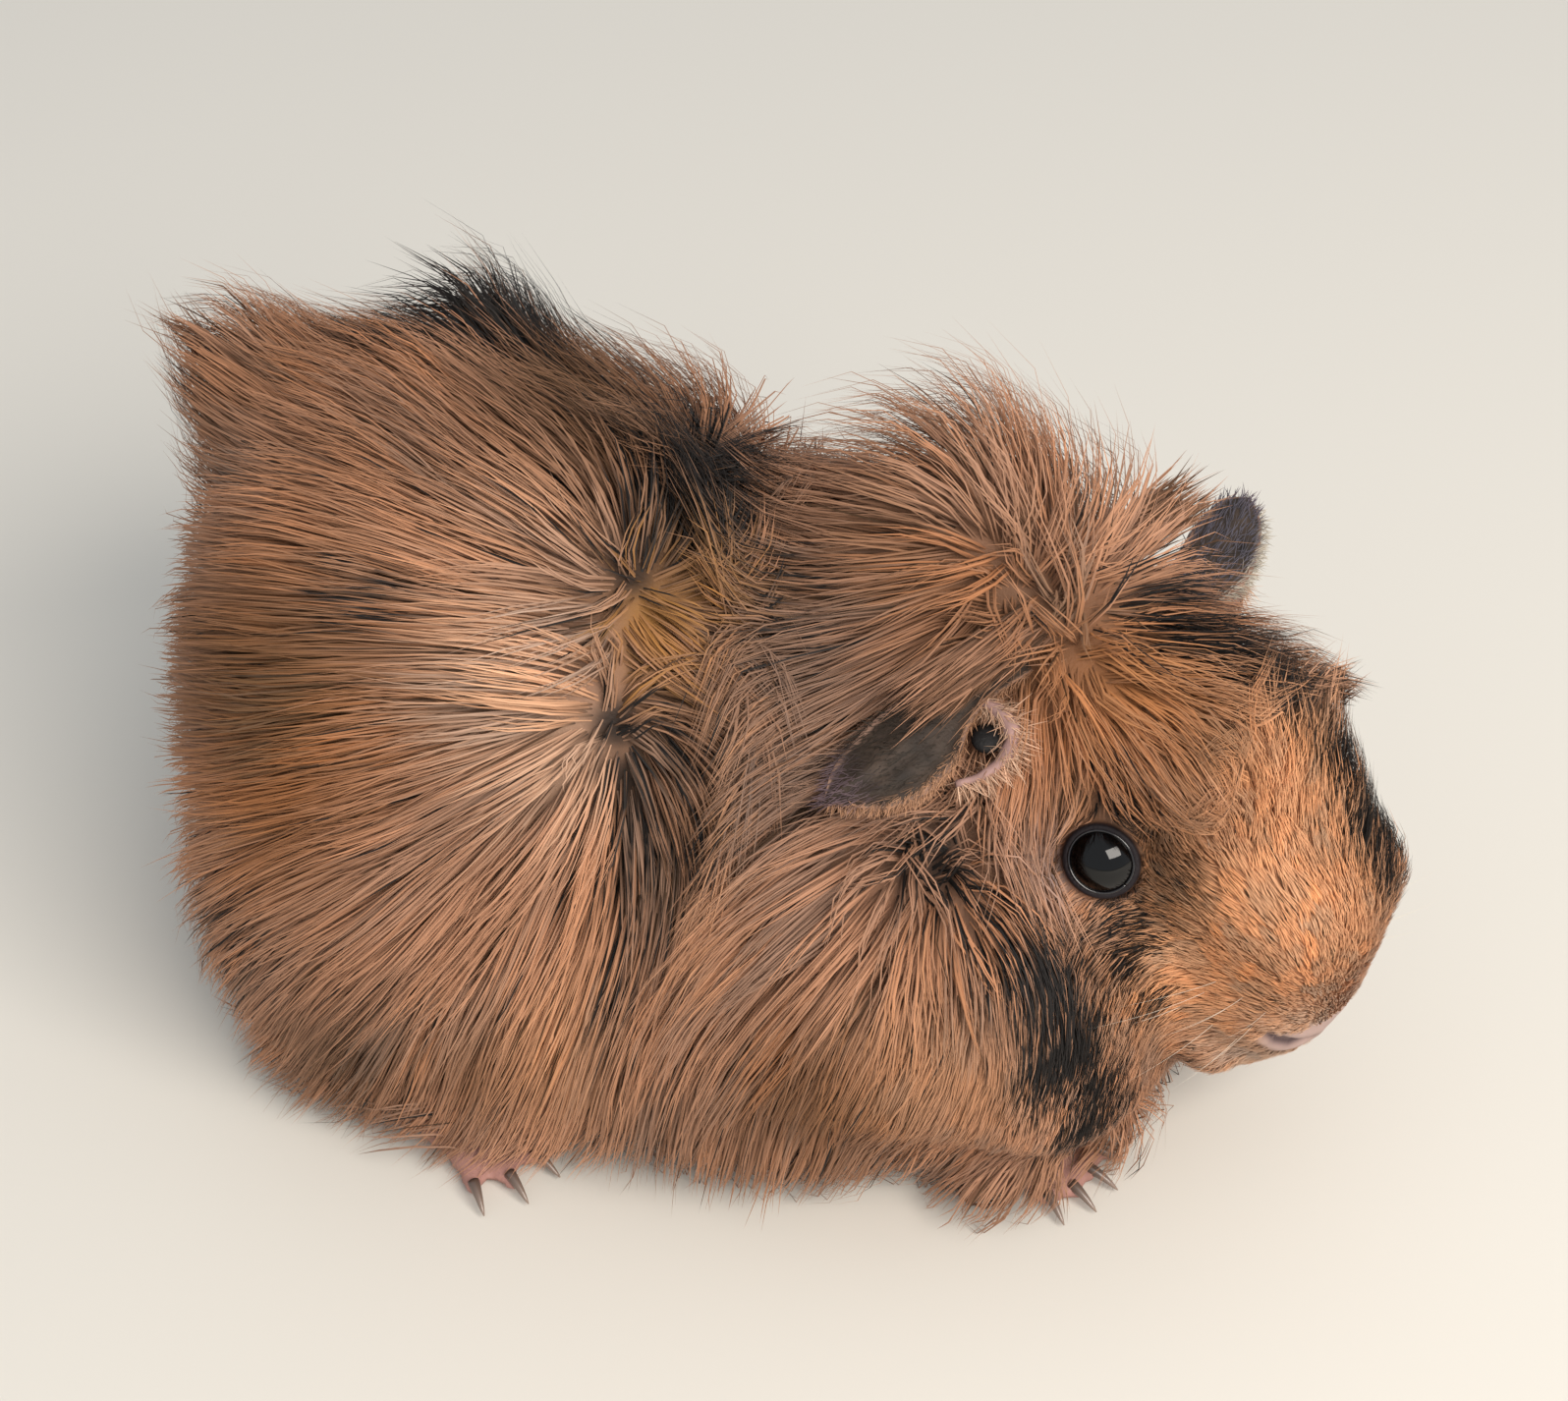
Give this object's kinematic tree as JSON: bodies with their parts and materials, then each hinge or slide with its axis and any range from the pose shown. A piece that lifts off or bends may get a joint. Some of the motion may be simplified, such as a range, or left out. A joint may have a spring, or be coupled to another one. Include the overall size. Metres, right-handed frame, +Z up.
{
  "type": "guinea pig",
  "caption": "Young rough-coated guinea pig crouching on the floor, head turned to its right and dipped, its coat raised in whorls and crests.",
  "frame": {"origin": "bottom centre of the bounding box, on the floor under the animal's middle", "axes": "+X from rump to head along the body, +Y to the animal's left, +Z up"},
  "size_m": [0.1624, 0.1036, 0.0936],
  "materials": {
    "coat": "long rough fur, tan orange brindled with black",
    "skin": "bare grey-mauve and pink skin",
    "eye": "wet, glossy black"
  },
  "bodies": {
    "root": {"head": "coat", "muzzle": "coat", "neck": "coat", "chest": "coat", "shoulders": "coat", "barrel": "coat", "rump": "coat", "haunch_right": "coat", "haunch_left": "coat", "foreleg_right": "coat", "foreleg_left": "coat", "hind_foot_right": "skin", "hind_foot_left": "skin", "forefoot_right": "skin", "forefoot_left": "skin", "ear_right": "skin", "ear_left": "skin", "eye_right": "eye", "eye_left": "eye"}
  },
  "joints": []
}
